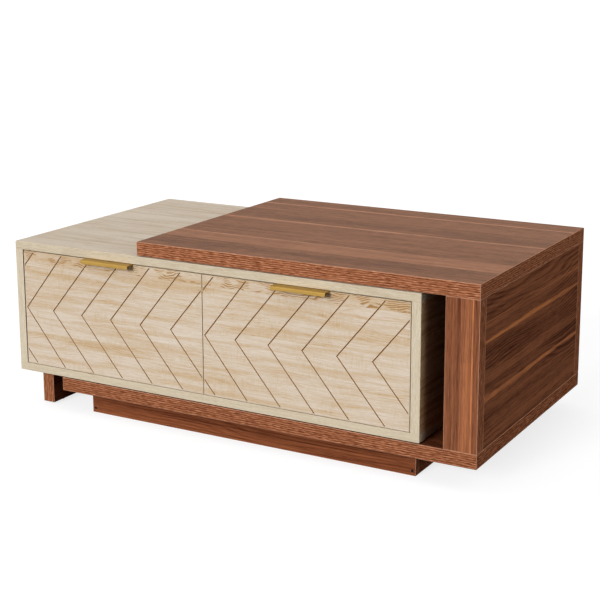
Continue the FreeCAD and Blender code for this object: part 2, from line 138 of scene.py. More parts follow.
# Node trees
class Graph:
    """A node tree, with short ways to add a node and to do sums."""

    def __init__(self, tree):
        self.tree = tree

    def feed(self, socket, value):
        if isinstance(value, bpy.types.NodeSocket):
            self.tree.links.new(value, socket)
        else:
            socket.default_value = value

    def add(self, kind, feeds=(), **settings):
        node = self.tree.nodes.new(kind)
        for name, value in settings.items():
            setattr(node, name, value)
        for name, value in dict(feeds).items():
            self.feed(node.inputs[name], value)
        return node

    def sum(self, operation, *values):
        return self.add("ShaderNodeMath", enumerate(values), operation=operation).outputs[0]

    def swing(self, value, reach, base):
        """The base, raised or lowered by up to half the reach as the value goes from 0 to 1."""
        return self.sum("MULTIPLY_ADD", self.sum("SUBTRACT", value, 0.5), reach, base)

    def vector(self, operation, *values):
        node = self.add("ShaderNodeVectorMath", enumerate(values), operation=operation)
        return node.outputs["Value" if operation == "DOT_PRODUCT" else "Vector"]

    def joined(self, x, y, z):
        return self.add("ShaderNodeCombineXYZ", enumerate((x, y, z))).outputs[0]

    def parts(self, vector):
        return self.add("ShaderNodeSeparateXYZ", {0: vector}).outputs

    def between(self, value, low, high, to_low=0.0, to_high=1.0):
        feeds = enumerate((value, low, high, to_low, to_high))
        return self.add("ShaderNodeMapRange", feeds).outputs[0]

    # A Mix node's sockets have the same names for each kind of value, so they are taken by number
    def mix(self, share, first, second):
        feeds = {0: share, 6: first, 7: second}
        return self.add("ShaderNodeMix", feeds, data_type="RGBA").outputs[2]

    def mix_vectors(self, share, first, second):
        feeds = {0: share, 4: first, 5: second}
        return self.add("ShaderNodeMix", feeds, data_type="VECTOR").outputs[1]

    def noise(self, place, detail=2.0, roughness=0.5):
        feeds = {"Vector": place, "Scale": 1.0, "Detail": detail, "Roughness": roughness}
        return self.add("ShaderNodeTexNoise", feeds).outputs[0]

    def wave_along(self, place):
        """A slow swing along a line, from 0 to 1."""
        feeds = {"W": place, "Scale": 1.0, "Detail": 1.0}
        return self.add("ShaderNodeTexNoise", feeds, noise_dimensions="1D").outputs[0]

    def ramp(self, share, stops, interpolation="LINEAR"):
        node = self.add("ShaderNodeValToRGB", {0: share})
        node.color_ramp.interpolation = interpolation
        elements = node.color_ramp.elements
        while len(elements) < len(stops):
            elements.new(0.5)
        for element, (place, colour) in zip(elements, stops):
            element.position = place
            element.color = colour
        return node.outputs[0]

    def use(self, group, **feeds):
        node = self.add("ShaderNodeGroup", node_tree=group)
        for name, value in feeds.items():
            self.feed(node.inputs[name.replace("_", " ").capitalize()], value)
        return node.outputs


number = "NodeSocketFloat"
three_numbers = "NodeSocketVector"

# Nearly all of a noise lies between these values
noise_range = (0.3, 0.7)

# A face looks along a direction where the cosine of the angle between them is more than this
squarely = 0.75


def new_group(name, takes, gives):
    tree = bpy.data.node_groups.new(name, "ShaderNodeTree")
    for label, kind in takes:
        tree.interface.new_socket(label, in_out="INPUT", socket_type=kind)
    for label, kind in gives:
        tree.interface.new_socket(label, in_out="OUTPUT", socket_type=kind)
    graph = Graph(tree)
    return graph, graph.add("NodeGroupInput").outputs, graph.add("NodeGroupOutput").inputs


def board_grain_group():
    """Turns a place on a board into its grain's own directions: along, across and through the face.

    On the board's edges the banding's grain runs along the edge and its width is the board's thickness.
    """
    takes = [(name, three_numbers) for name in ("Place", "Facing", "Along", "Across", "Through", "Start")]
    graph, given, result = new_group("board_grain", takes, [("Grain", three_numbers), ("Edge", number)])
    moved = graph.vector("ADD", given["Place"], given["Start"])
    parts = [graph.vector("DOT_PRODUCT", moved, given[name]) for name in ("Along", "Across", "Through")]
    on_face = graph.joined(*parts)
    on_side = graph.joined(parts[0], parts[2], parts[1])
    on_end = graph.joined(parts[1], parts[2], parts[0])
    endwise = graph.sum("ABSOLUTE", graph.vector("DOT_PRODUCT", given["Facing"], given["Along"]))
    flat = graph.sum("ABSOLUTE", graph.vector("DOT_PRODUCT", given["Facing"], given["Through"]))
    is_end = graph.sum("GREATER_THAN", endwise, squarely)
    is_edge = graph.sum("LESS_THAN", flat, squarely)
    on_edge = graph.mix_vectors(is_end, on_side, on_end)
    graph.feed(result["Grain"], graph.mix_vectors(is_edge, on_face, on_edge))
    graph.feed(result["Edge"], is_edge)
    return graph.tree


def fibres_group():
    """Streaks of a given length and width along the grain, from 0 to 1."""
    takes = [("Grain", three_numbers), ("Length", number), ("Width", number)]
    graph, given, result = new_group("wood_fibres", takes, [("Value", number)])
    size = graph.joined(given["Length"], given["Width"], given["Width"])
    streaks = graph.noise(graph.vector("DIVIDE", given["Grain"], size), roughness=0.55)
    graph.feed(result["Value"], graph.between(streaks, *noise_range))
    return graph.tree


def wander_group():
    """Bends the grain a little from side to side, as a tree's own does."""
    takes = [("Grain", three_numbers), ("Length", number), ("Width", number), ("Sway", number)]
    graph, given, result = new_group("wandering_grain", takes, [("Grain", three_numbers)])
    size = graph.joined(given["Length"], given["Width"], given["Width"])
    drift = graph.noise(graph.vector("DIVIDE", given["Grain"], size), detail=1.0, roughness=0.4)
    aside = graph.sum("MULTIPLY", graph.sum("SUBTRACT", drift, 0.5), given["Sway"])
    graph.feed(result["Grain"], graph.vector("ADD", given["Grain"], graph.joined(0.0, aside, 0.0)))
    return graph.tree


def rings_group():
    """Growth rings as a sawn board shows them: lines along the grain that arch where the log swelled."""
    takes = [("Grain", three_numbers)] + [(name, number) for name in ("Length", "Width", "Spacing", "Sway")]
    graph, given, result = new_group("growth_rings", takes, [("Line", number)])
    size = graph.joined(given["Length"], given["Width"], given["Width"])
    place = graph.vector("DIVIDE", given["Grain"], size)
    swelling = graph.noise(place, detail=1.5, roughness=0.45)
    across = graph.sum("DIVIDE", graph.parts(given["Grain"])[1], given["Spacing"])
    ring = graph.sum("FRACT", graph.sum("MULTIPLY_ADD", swelling, given["Sway"], across))
    slow_rise = graph.between(ring, 0.3, 0.85)
    sharp_fall = graph.between(ring, 1.0, 0.9)
    line = graph.sum("MULTIPLY", slow_rise, sharp_fall)
    finer, apart = (1.6, 1.6, 1.6), (7.0, 3.0, 5.0)
    patches = graph.noise(graph.vector("ADD", graph.vector("MULTIPLY", place, finer), apart), detail=1.0)
    shown = graph.between(patches, 0.42, 0.58)
    graph.feed(result["Line"], graph.sum("MULTIPLY", line, shown))
    return graph.tree


def light_streak_group():
    """One light streak along a board, that sways a little and is widest at one place on its way."""
    names = ("Along", "Across", "Place", "Width", "Sway", "Start", "Widest at", "Taper")
    graph, given, result = new_group("light_streak", [(name, number) for name in names], [("Mask", number)])
    sways_per_metre, flutters_per_sway, flutter_start = 3.5, 4.0, 31.0
    thin_share, least_share, greatest_share = 0.3, 0.75, 1.1
    faded_at, full_at = 1.4, 0.6
    slow = graph.sum("MULTIPLY_ADD", given["Along"], sways_per_metre, given["Start"])
    quick = graph.sum("MULTIPLY_ADD", slow, flutters_per_sway, flutter_start)
    centre = graph.swing(graph.wave_along(slow), given["Sway"], given["Place"])
    beyond = graph.sum("ABSOLUTE", graph.sum("SUBTRACT", given["Along"], given["Widest at"]))
    swell = graph.between(beyond, 0.0, given["Taper"], 1.0, thin_share)
    uneven = graph.between(graph.wave_along(quick), *noise_range, least_share, greatest_share)
    half = graph.sum("MULTIPLY", given["Width"], 0.5)
    half = graph.sum("MULTIPLY", half, graph.sum("MULTIPLY", swell, uneven))
    away = graph.sum("ABSOLUTE", graph.sum("SUBTRACT", given["Across"], centre))
    faded = graph.sum("MULTIPLY", half, faded_at)
    full = graph.sum("MULTIPLY", half, full_at)
    graph.feed(result["Mask"], graph.between(away, faded, full))
    return graph.tree


def arris_highlight_and_wear_group():
    """1 along a board's sharp edges and 0 away from them, a little uneven as handling leaves it. It lays a
    painted highlight on the walnut and a worn tint on the oak.
    """
    takes = [(name, three_numbers) for name in ("Place", "Low corner", "High corner")] + [("Width", number)]
    graph, given, result = new_group("arris_wear_and_highlight", takes, [("Mask", number)])
    from_low = graph.vector("SUBTRACT", given["Place"], given["Low corner"])
    from_high = graph.vector("SUBTRACT", given["High corner"], given["Place"])
    nearest = graph.parts(graph.vector("MINIMUM", from_low, from_high))
    lesser = graph.sum("MINIMUM", nearest[0], nearest[1])
    greater = graph.sum("MAXIMUM", nearest[0], nearest[1])
    second = graph.sum("MAXIMUM", lesser, graph.sum("MINIMUM", greater, nearest[2]))
    full_share = 0.4
    patches_per_metre = (60.0, 60.0, 60.0)
    mask = graph.between(second, given["Width"], graph.sum("MULTIPLY", given["Width"], full_share))
    patchy = graph.noise(graph.vector("MULTIPLY", given["Place"], patches_per_metre))
    uneven = graph.between(patchy, 0.3, 0.6, 0.55, 1.0)
    graph.feed(result["Mask"], graph.sum("MULTIPLY", mask, uneven))
    return graph.tree


def saw_marks_group():
    """Short fine ticks across the grain, in patches, as a bandsaw leaves them on rough oak."""
    graph, given, result = new_group("saw_marks", [("Grain", three_numbers)], [("Mask", number)])
    ticks_per_metre = (420.0, 45.0, 45.0)
    patches_per_metre = (9.0, 22.0, 22.0)
    ticks = graph.noise(graph.vector("MULTIPLY", given["Grain"], ticks_per_metre), detail=1.0)
    patches = graph.noise(graph.vector("MULTIPLY", given["Grain"], patches_per_metre), detail=1.0)
    where = graph.between(patches, 0.46, 0.62)
    graph.feed(result["Mask"], graph.sum("MULTIPLY", graph.between(ticks, 0.45, 0.7), where))
    return graph.tree


board_grain = board_grain_group()
wood_fibres = fibres_group()
wandering_grain = wander_group()
growth_rings = rings_group()
light_streak = light_streak_group()
arris_wear_and_highlight = arris_highlight_and_wear_group()
saw_marks = saw_marks_group()


# Finishes
def new_material(name):
    material = bpy.data.materials.new(name)
    material.use_nodes = True
    graph = Graph(material.node_tree)
    shader = material.node_tree.nodes["Principled BSDF"]
    where = graph.add("ShaderNodeTexCoord").outputs
    return material, graph, shader, where


def rough_and_shiny(graph, shader, pattern, roughness, spread, shine=0.5):
    """The roughness rises from its least by up to the spread with the pattern; the shine is even."""
    graph.feed(shader.inputs["Roughness"], graph.sum("MULTIPLY_ADD", pattern, spread, roughness))
    shader.inputs["Specular IOR Level"].default_value = shine


def bumped(graph, shader, height, depth):
    bump = graph.add("ShaderNodeBump", {"Height": height, "Distance": depth, "Strength": 1.0})
    graph.feed(shader.inputs["Normal"], bump.outputs[0])


def grain_on(graph, where, board, start):
    along, across, through = board
    feeds = {"along": along, "across": across, "through": through, "start": start}
    return graph.use(board_grain, place=where["Object"], facing=where["Normal"], **feeds)


def across_board(graph, where, node, across):
    """How far a place lies across a board from its low side, and the board's width."""
    low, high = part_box(node)
    axis = Vector(across)
    place = graph.sum("SUBTRACT", graph.vector("DOT_PRODUCT", where["Object"], across), low.dot(axis))
    return place, high.dot(axis) - low.dot(axis)


# Mixes a colour in along a board's sharp edges: a painted highlight on the walnut, a worn tint on the oak
def with_arris_highlight_and_wear(graph, where, node, colour, arris_colour, width, share):
    low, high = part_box(node)
    arris = graph.use(arris_wear_and_highlight, place=where["Object"], low_corner=low, high_corner=high, width=width)[0]
    return graph.mix(graph.sum("MULTIPLY", arris, share), colour, arris_colour)


# The walnut edging: dashes in even layers that run along the edge and ripple a little
edging_layer = 4.4 * mm
edging_ripple_size = (0.045, 0.007, 0.007)
edging_layer_contrast = 1.05
edging_dash_contrast = 0.72
edging_tone = 0.51

# How far apart the sways of a board's light streaks start
streak_stride = 9.7

# The clear lacquer on the walnut faces: how strong it is where a look doesn't say, and how dull
plain_lacquer = 0.012
lacquer_roughness = 0.4


def with_light_streaks(graph, face, along, across, start, streaks):
    """Light streaks, each (place, width, sway, lightness, widest at, taper), in millimetres."""
    for index, (place, width, sway, lightness, widest_at, taper) in enumerate(streaks):
        sizes = {"place": place, "width": width, "sway": sway, "widest_at": widest_at, "taper": taper}
        feeds = {name: size * mm for name, size in sizes.items()}
        feeds["start"] = index * streak_stride + start
        streak = graph.use(light_streak, along=along, across=across, **feeds)[0]
        face = graph.sum("MULTIPLY_ADD", streak, lightness, face)
    return face


def with_print_break(graph, face, along, across, print_break):
    """The print changes tone past a place along the board, between two places across it."""
    at, from_side, to_side, change = print_break
    beyond = graph.sum("GREATER_THAN", along, at * mm)
    inside = graph.sum("COMPARE", across, (from_side + to_side) / 2 * mm, (to_side - from_side) / 2 * mm)
    return graph.sum("MULTIPLY_ADD", graph.sum("MULTIPLY", beyond, inside), change, face)


def walnut_edging(graph, grain, tone):
    """Dashes that lie on layers, which rise and fall between 0 and a half."""
    dashes = graph.use(wood_fibres, grain=grain, length=0.014, width=0.0014)[0]
    ripple = graph.noise(graph.vector("DIVIDE", grain, edging_ripple_size), detail=1.0)
    layers = graph.sum("ADD", ripple, graph.sum("DIVIDE", graph.parts(grain)[1], edging_layer))
    layers = graph.sum("PINGPONG", layers, 0.5)
    edging = graph.swing(dashes, edging_dash_contrast, tone)
    return graph.sum("MULTIPLY_ADD", graph.sum("SUBTRACT", layers, 0.25), edging_layer_contrast, edging)


def walnut(node, board, start, look):
    """Walnut-figured laminate: bands, light streaks, growth rings, fibres and pores, a banded edge, and a
    painted highlight along the arrises.
    """
    material, graph, shader, where = new_material("walnut_" + node)
    grain, edge = grain_on(graph, where, board, start)
    along = graph.vector("DOT_PRODUCT", where["Object"], board[0])
    across, width = across_board(graph, where, node, board[1])
    bent = graph.use(wandering_grain, grain=grain, length=0.35, width=0.12, sway=14.0 * mm)[0]
    fine = graph.use(wood_fibres, grain=grain, length=0.05, width=0.0013)[0]
    middle = graph.use(wood_fibres, grain=bent, length=0.3, width=0.003)[0]
    broad = graph.use(wood_fibres, grain=bent, length=0.9, width=0.015)[0]
    rings = graph.use(growth_rings, grain=bent, length=0.5, width=0.11, spacing=8.0 * mm, sway=14.0)[0]
    pores = graph.between(fine, 0.7, 0.95)
    bands = [(at * mm / width, grey(tone)) for at, tone in look["bands"]]
    face = graph.ramp(graph.sum("DIVIDE", across, width), bands)
    face = graph.swing(broad, look["broad"], face)
    face = graph.swing(middle, look["streaky"], face)
    face = graph.swing(fine, look["fine"], face)
    face = graph.sum("MULTIPLY_ADD", rings, -look["rings"], face)
    face = graph.sum("MULTIPLY_ADD", pores, -look["fine"], face)
    face = with_light_streaks(graph, face, along, across, start[0], look["streaks"])
    if "break" in look:
        face = with_print_break(graph, face, along, across, look["break"])
    face_colour = graph.ramp(face, look.get("tones", walnut_tones))
    edging = walnut_edging(graph, grain, look.get("edging tone", edging_tone))
    colour = graph.mix(edge, face_colour, graph.ramp(edging, walnut_edge_tones))
    # A painted highlight along the board's sharp edges
    colour = with_arris_highlight_and_wear(graph, where, node, colour, walnut_arris_highlight, width=1.5 * mm, share=0.5)
    if "routed" in look:
        colour = with_routed_groove(graph, where, node, colour)
    graph.feed(shader.inputs["Base Color"], colour)
    rough_and_shiny(graph, shader, fine, roughness=0.5, spread=0.12, shine=0.0)
    shader.inputs["Coat Roughness"].default_value = lacquer_roughness
    lacquer = graph.between(edge, 0.0, 1.0, look.get("lacquer", plain_lacquer), 0.0)
    graph.feed(shader.inputs["Coat Weight"], lacquer)
    bumped(graph, shader, graph.swing(middle, 0.5, fine), depth=0.06 * mm)
    return material


# The routed groove in the shell's bottom: its room beside the pins, and where bare board starts and ends
routed_play = 1.0 * mm
routed_lip = 0.2 * mm
routed_floor_margin = 1.0 * mm
routed_end_margin = 5.0 * mm
chips_per_metre = (420.0, 300.0, 700.0)


def with_routed_groove(graph, where, node, colour):
    """Bare chipboard inside the groove that the guide pins run in."""
    low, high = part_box(node)
    pins_low, pins_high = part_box("guide_pins")
    middle = (low + high) / 2
    x, y, z = graph.parts(where["Object"])
    half_width = (pins_high.y - pins_low.y) / 2 + routed_play
    half_length = middle.x - low.x - routed_end_margin
    beside = graph.sum("ABSOLUTE", graph.sum("SUBTRACT", y, middle.y))
    endwards = graph.sum("ABSOLUTE", graph.sum("SUBTRACT", x, middle.x))
    near = graph.sum("LESS_THAN", beside, half_width)
    clear = graph.sum("LESS_THAN", endwards, half_length)
    sunk = graph.sum("LESS_THAN", z, high.z - routed_lip)
    above = graph.sum("GREATER_THAN", z, low.z + routed_floor_margin)
    inside = graph.sum("MULTIPLY", graph.sum("MULTIPLY", near, sunk), graph.sum("MULTIPLY", above, clear))
    chips = graph.noise(graph.vector("MULTIPLY", where["Object"], chips_per_metre), detail=3.0, roughness=0.6)
    bare = graph.ramp(graph.between(chips, 0.35, 0.65), chipboard_tones)
    return graph.mix(inside, colour, bare)


# How far each kind of mark takes the oak print's tone, from the planks' own
oak_base = 0.67
stroke_depth = 0.34
oak_streaky = 0.26
oak_fine = 0.26
saw_mark_depth = 0.12
oak_edging_tone = 0.5
oak_edging_streaky = 0.28
oak_edging_fine = 0.4

# How far apart two planks lie in the pattern, along the grain, for each unit of their seeds
plank_stride = 6.0

# The arches of the figure: how long they are where it is faint and where it is strong
faint_figure, strong_figure = 0.1, 0.5
faint_arch, strong_arch = 0.11, 0.045

# The chevron grooves' bare walls lie between these depths behind a drawer front's face
wall_starts, wall_full = 0.2 * mm, 0.6 * mm
wall_fades, wall_ends = 2.5 * mm, 2.6 * mm


def with_bare_groove_walls(graph, where, node, colour, fine):
    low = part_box(node)[0]
    depth = graph.sum("SUBTRACT", graph.vector("DOT_PRODUCT", where["Object"], along_y), low.y)
    behind_face = graph.between(depth, wall_starts, wall_full)
    before_core = graph.between(depth, wall_ends, wall_fades)
    wall = graph.sum("MULTIPLY", behind_face, before_core)
    return graph.mix(wall, colour, graph.ramp(fine, groove_tones))


def oak(node, board, start, look):
    """Pale sawn-oak laminate, printed as planks: tan streaks, patches of figure and fine marks across."""
    material, graph, shader, where = new_material("oak_" + node)
    grain, edge = grain_on(graph, where, board, start)
    across, width = across_board(graph, where, node, board[1])
    stops = [(at * mm / width, (tone, figure, seed, 1.0)) for at, tone, figure, seed in look["planks"]]
    plank = graph.ramp(graph.sum("DIVIDE", across, width), stops, "CONSTANT")
    tone, figure, seed = graph.add("ShaderNodeSeparateColor", {0: plank}).outputs
    apart = graph.joined(graph.sum("MULTIPLY", seed, plank_stride), seed, seed)
    grain = graph.vector("ADD", grain, apart)
    bent = graph.use(wandering_grain, grain=grain, length=0.13, width=0.05, sway=12.0 * mm)[0]
    broad = graph.use(wood_fibres, grain=bent, length=0.26, width=0.012)[0]
    middle = graph.use(wood_fibres, grain=bent, length=0.07, width=0.0019)[0]
    fine = graph.use(wood_fibres, grain=grain, length=0.012, width=0.0009)[0]
    arch = graph.between(figure, faint_figure, strong_figure, faint_arch, strong_arch)
    rings = graph.use(growth_rings, grain=bent, length=arch, width=0.03, spacing=5.0 * mm, sway=6.0)[0]
    marks = graph.use(saw_marks, grain=grain)[0]
    streaks = graph.between(middle, 0.2, 0.8, 0.4, 1.0)
    strokes = graph.sum("MULTIPLY", graph.between(broad, 0.4, 0.9), streaks)
    face = graph.sum("MULTIPLY_ADD", strokes, -stroke_depth, graph.swing(tone, 1.0, oak_base))
    face = graph.swing(middle, oak_streaky, face)
    face = graph.swing(fine, oak_fine, face)
    face = graph.sum("SUBTRACT", face, graph.sum("MULTIPLY", rings, figure))
    face = graph.sum("MULTIPLY_ADD", marks, -saw_mark_depth, face)
    face_colour = graph.ramp(face, look.get("tones", oak_tones))
    edging = graph.swing(middle, oak_edging_streaky, look.get("edging tone", oak_edging_tone))
    edging = graph.swing(fine, oak_edging_fine, edging)
    colour = graph.mix(edge, face_colour, graph.ramp(edging, oak_edge_tones))
    if "grooved" in look:
        colour = with_bare_groove_walls(graph, where, node, colour, fine)
    colour = with_arris_highlight_and_wear(graph, where, node, colour, oak_worn, width=1.2 * mm, share=0.25)
    graph.feed(shader.inputs["Base Color"], colour)
    rough_and_shiny(graph, shader, fine, roughness=0.55, spread=0.12, shine=0.08)
    relief = graph.sum("SUBTRACT", graph.sum("ADD", fine, middle), graph.sum("MULTIPLY", marks, 0.6))
    bumped(graph, shader, relief, depth=0.08 * mm)
    return material


def plain_wood(name, board, start, tones, streaky, roughness=0.5):
    """Wood with no more than a straight grain, whose fine streaks are weaker than its broad ones."""
    fine_share, middle_tone = 0.6, 0.6
    material, graph, shader, where = new_material(name)
    grain = grain_on(graph, where, board, start)[0]
    middle = graph.use(wood_fibres, grain=grain, length=0.12, width=0.005)[0]
    fine = graph.use(wood_fibres, grain=grain, length=0.02, width=0.0012)[0]
    tone = graph.swing(fine, streaky * fine_share, graph.swing(middle, streaky, middle_tone))
    graph.feed(shader.inputs["Base Color"], graph.ramp(tone, tones))
    rough_and_shiny(graph, shader, fine, roughness, spread=0.15, shine=0.3)
    bumped(graph, shader, fine, depth=0.06 * mm)
    return material


# Marks on metal and nylon, in marks per metre
tumbled = (900.0, 900.0, 900.0)
brushed_lengthwise, brushed_crosswise = 12.0, 1400.0
clouds_per_metre = (45.0, 45.0, 45.0)
grains_per_metre = (600.0, 600.0, 600.0)


def metal(name, colour, dull, roughness, brushed_along=None, metallic=1.0, shine=0.5):
    """A brushed or tumbled metal, whose scratches run one way if it is brushed."""
    material, graph, shader, where = new_material(name)
    stretch = tumbled
    if brushed_along:
        stretch = tuple(brushed_lengthwise if part else brushed_crosswise for part in brushed_along)
    place = where["Object"]
    scratches = graph.noise(graph.vector("MULTIPLY", place, stretch), roughness=0.6)
    clouds = graph.noise(graph.vector("MULTIPLY", place, clouds_per_metre), detail=3.0, roughness=0.6)
    scratched, cloudy = graph.between(scratches, 0.35, 0.65), graph.between(clouds, *noise_range)
    wear = graph.sum("MULTIPLY", scratched, cloudy)
    graph.feed(shader.inputs["Base Color"], graph.mix(wear, colour, dull))
    rough_and_shiny(graph, shader, scratches, roughness, spread=0.2, shine=shine)
    shader.inputs["Metallic"].default_value = metallic
    bumped(graph, shader, scratches, depth=0.02 * mm)
    return material


def nylon():
    material, graph, shader, where = new_material("nylon")
    grain = graph.noise(graph.vector("MULTIPLY", where["Object"], grains_per_metre))
    colour = graph.mix(graph.between(grain, *noise_range), screen(226, 225, 216), screen(206, 204, 192))
    graph.feed(shader.inputs["Base Color"], colour)
    rough_and_shiny(graph, shader, grain, roughness=0.45, spread=0.2)
    bumped(graph, shader, grain, depth=0.03 * mm)
    return material


def dress(node, material):
    mesh = frame["nodes"][node].data
    mesh.materials.clear()
    mesh.materials.append(material)


# The print on each kind of walnut board, in millimetres across the board from its low side; the rails' bands
# hold painted shade as well.
# A band is (place, tone), and a light streak is (place, width, sway, lightness, widest at, taper).
# The break in a print is (place along, from, to, change of tone).
shell_top_look = {
    "bands": (
        (0, 0.55), (60, 0.52), (92, 0.52), (97, 0.66), (128, 0.7), (158, 0.66), (165, 0.58), (260, 0.55),
        (340, 0.58), (354, 0.51), (400, 0.52), (440, 0.56), (498, 0.53), (518, 0.49), (545, 0.55),
        (600, 0.54),
    ),
    "streaks": (
        (163, 9, 5, 0.26, -224, 700),
        (348, 10, 6, 0.34, 0, 9000),
        (486, 5, 8, 0.1, 0, 9000),
        (533, 11, 6, 0.4, 100, 900),
    ),
    "break": (96, 98, 158, 0.06),
    "broad": 0.18,
    "streaky": 0.2,
    "fine": 0.64,
    "rings": 0.1,
    "lacquer": 0.28,
    "tones": walnut_top_tones,
}
shell_bottom_look = {
    **shell_top_look,
    "bands": ((0, 0.35), (300, 0.46), (600, 0.42)),
    "tones": walnut_low_tones,
    "lacquer": plain_lacquer,
    "edging tone": 0.44,
    "routed": True,
}
end_panel_look = {
    "bands": (
        (0, 0.5), (40, 0.54), (92, 0.49), (106, 0.48), (140, 0.58), (160, 0.52), (208, 0.48), (225, 0.62),
        (304, 0.58),
    ),
    "streaks": (
        (101, 14, 6, 0.54, -270, 700),
        (214, 11, 8, 0.46, 60, 480),
        (252, 3, 24, 0.24, 0, 900),
        (134, 9, 6, 0.1, -100, 400),
    ),
    "broad": 0.28,
    "streaky": 0.2,
    "fine": 0.42,
    "rings": 0.24,
}
jamb_look = {
    "bands": (
        (0, 0.53), (8, 0.57), (20, 0.5), (31, 0.42), (32.2, 0.74), (33.2, 0.76), (34.5, 0.67), (42, 0.78),
        (53, 0.74), (54, 0.52), (54.6, 1.0), (56.8, 1.0), (58, 0.5), (70, 0.56),
    ),
    "streaks": (),
    "break": (259, 33.5, 54, -0.04),
    "edging tone": 0.46,
    "broad": 0.12,
    "streaky": 0.2,
    "fine": 0.46,
    "rings": 0.16,
}
# The rails' bands darken towards their top: painted shade under the shell's overhanging bottom
rail_look_shaded_at_top = {
    "tones": walnut_low_tones,
    "bands": ((0, 0.6), (15, 0.57), (25, 0.49), (38, 0.43), (50, 0.45)),
    "streaks": (),
    "broad": 0.1,
    "streaky": 0.3,
    "fine": 0.34,
    "rings": 0.12,
}
leg_look = {
    "tones": walnut_low_tones,
    "edging tone": 0.46,
    "bands": ((0, 0.5), (30, 0.56), (55, 0.48), (79, 0.52)),
    "streaks": (),
    "broad": 0.1,
    "streaky": 0.3,
    "fine": 0.2,
    "rings": 0.12,
}

# The planks printed on the oak boards, in millimetres across the board from its low side.
# Each is (place, tone, strength of figure, seed).
drawer_front_look = {
    "planks": (
        (0, 0.5, 0.12, 0.1),
        (52, 0.47, 0.2, 0.15),
        (75, 0.52, 0.12, 0.3),
        (111, 0.52, 0.1, 0.55),
        (145, 0.46, 0.14, 0.72),
        (238, 0.4, 0.75, 0.9),
    ),
    "grooved": True,
}
oak_look = {
    "planks": (
        (0, 0.5, 0.1, 0.2),
        (60, 0.46, 0.2, 0.45),
        (110, 0.53, 0.1, 0.7),
        (190, 0.48, 0.16, 0.05),
        (330, 0.54, 0.08, 0.6),
        (450, 0.46, 0.16, 0.33),
        (560, 0.5, 0.1, 0.9),
    ),
}
oak_top_look = {**oak_look, "tones": oak_top_tones, "edging tone": 0.36}
oak_bottom_look = {**oak_look, "edging tone": 0.4}
# The cabinet's right side gets the darker tones and edging: painted shade for the gap it stands in
oak_shaded_side_look = {**oak_look, "tones": oak_shaded_side_tones, "edging tone": 0.44}


# Each board's start moves it along the print, so that no two boards look alike. The two drawer fronts
# share one, so that the print runs on from one to the other.
def dress_shell():
    dress("shell_top", walnut("shell_top", lying, (0.0, 0.0, 0.0), shell_top_look))
    dress("shell_bottom", walnut("shell_bottom", lying, (2.0, 1.0, 0.0), shell_bottom_look))
    dress("end_panel", walnut("end_panel", facing_side, (0.0, 3.0, 0.4), end_panel_look))
    dress("front_jamb", walnut("front_jamb", upright, (0.3, 0.0, 0.0), jamb_look))
    dress("rear_jamb", walnut("rear_jamb", upright, (0.9, 1.0, 0.0), jamb_look))
    for index, node in enumerate(("plinth_front_rail", "plinth_rear_rail")):
        dress(node, walnut(node, facing_front, (index * 2.0 + 4.0, 0.0, 0.0), rail_look_shaded_at_top))
    for index, node in enumerate(("plinth_left_rail", "plinth_middle_rail", "plinth_right_rail")):
        dress(node, walnut(node, facing_side, (0.0, index * 2.0 + 5.0, 0.0), rail_look_shaded_at_top))
    dress("support_leg", walnut("support_leg", facing_side, (0.0, 7.0, 0.0), leg_look))


def dress_cabinet():
    fronts = (0.35, 0.0, 0.6)
    boards = {
        "cabinet_top": (lying, (0.0, 0.5, 0.0), oak_top_look),
        "cabinet_bottom": (lying, (3.0, 0.0, 0.0), oak_bottom_look),
        "cabinet_left_side": (facing_side, (0.0, 1.0, 0.0), oak_look),
        "cabinet_right_side": (facing_side, (0.0, 2.0, 0.0), oak_shaded_side_look),
        "cabinet_divider": (facing_side, (0.0, 3.0, 0.0), oak_look),
        "cabinet_back": (facing_front, (5.0, 0.0, 0.0), oak_look),
        "left_drawer_front": (facing_front, fronts, drawer_front_look),
        "right_drawer_front": (facing_front, fronts, drawer_front_look),
    }
    for node, (board, start, look) in boards.items():
        dress(node, oak(node, board, start, look))


gold = metal("brushed_gold", screen(168, 134, 62), screen(152, 118, 49), 0.5, along_x, metallic=0.55)
steel = metal("runner_steel", screen(178, 180, 182), screen(150, 152, 154), 0.3, along_y)
zinc = metal("zinc_fitting", screen(170, 170, 166), screen(140, 140, 134), 0.38)
black = metal("black_screw", screen(24, 24, 25), screen(12, 12, 13), 0.6, metallic=0.0, shine=0.1)


def dress_drawers_and_fittings():
    for side in ("left_drawer", "right_drawer"):
        side_wood = plain_wood(side + "_side_laminate", facing_side, (0.0, 1.0, 0.0), drawer_tones, 0.4)
        back_wood = plain_wood(side + "_back_laminate", facing_front, (1.0, 0.0, 0.0), drawer_tones, 0.4)
        bottom_wood = plain_wood(side + "_hardboard", lying, (0.0, 0.0, 0.0), drawer_tones, 0.3, 0.6)
        dress(side + "_left_side", side_wood)
        dress(side + "_right_side", side_wood)
        dress(side + "_back", back_wood)
        dress(side + "_bottom", bottom_wood)
        dress(side + "_handle", gold)
    dress("plinth_corner_blocks", plain_wood("pine", upright, (0.0, 0.0, 0.0), pine_tones, 0.7, 0.6))
    slots = {"runner_steel": steel, "zinc_fitting": zinc, "black_screw": black, "nylon": nylon()}
    for entry in frame["record"]["subparts"]:
        if entry["material_slot"] in slots:
            dress(entry["node"], slots[entry["material_slot"]])


dress_shell()
dress_cabinet()
dress_drawers_and_fittings()


# Screws, each with a round countersunk head, a drive and a thread, in the places of the plain ones
weld_reach = 0.001 * mm
same_level = 0.01 * mm


